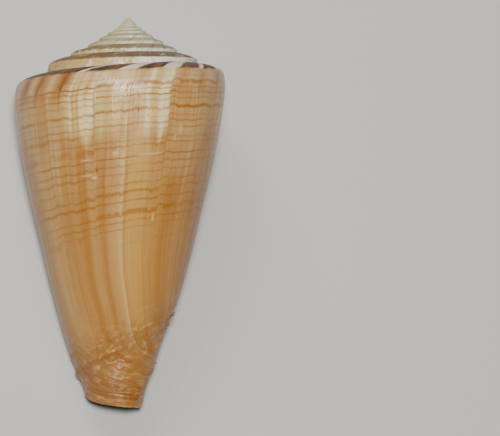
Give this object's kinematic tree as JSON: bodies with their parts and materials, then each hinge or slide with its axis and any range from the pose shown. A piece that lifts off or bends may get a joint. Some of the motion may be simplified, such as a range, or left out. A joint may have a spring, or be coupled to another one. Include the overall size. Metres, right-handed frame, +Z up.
{
  "type": "cone shell",
  "caption": "Cone-shaped sea snail shell with a low stepped spire and a long narrow mouth, lying mouth down.",
  "frame": {"origin": "on the ground under the middle of the shell's box, as the shell lies at rest with its mouth down", "axes": "+Z up, +Y along the shell towards its spire, -Y towards its tip, the lip on the -X side"},
  "size_m": [0.0322, 0.0594, 0.0295],
  "materials": {
    "aged_shell": "satin"
  },
  "bodies": {
    "root": {"cone_shell": "aged_shell"}
  },
  "joints": []
}
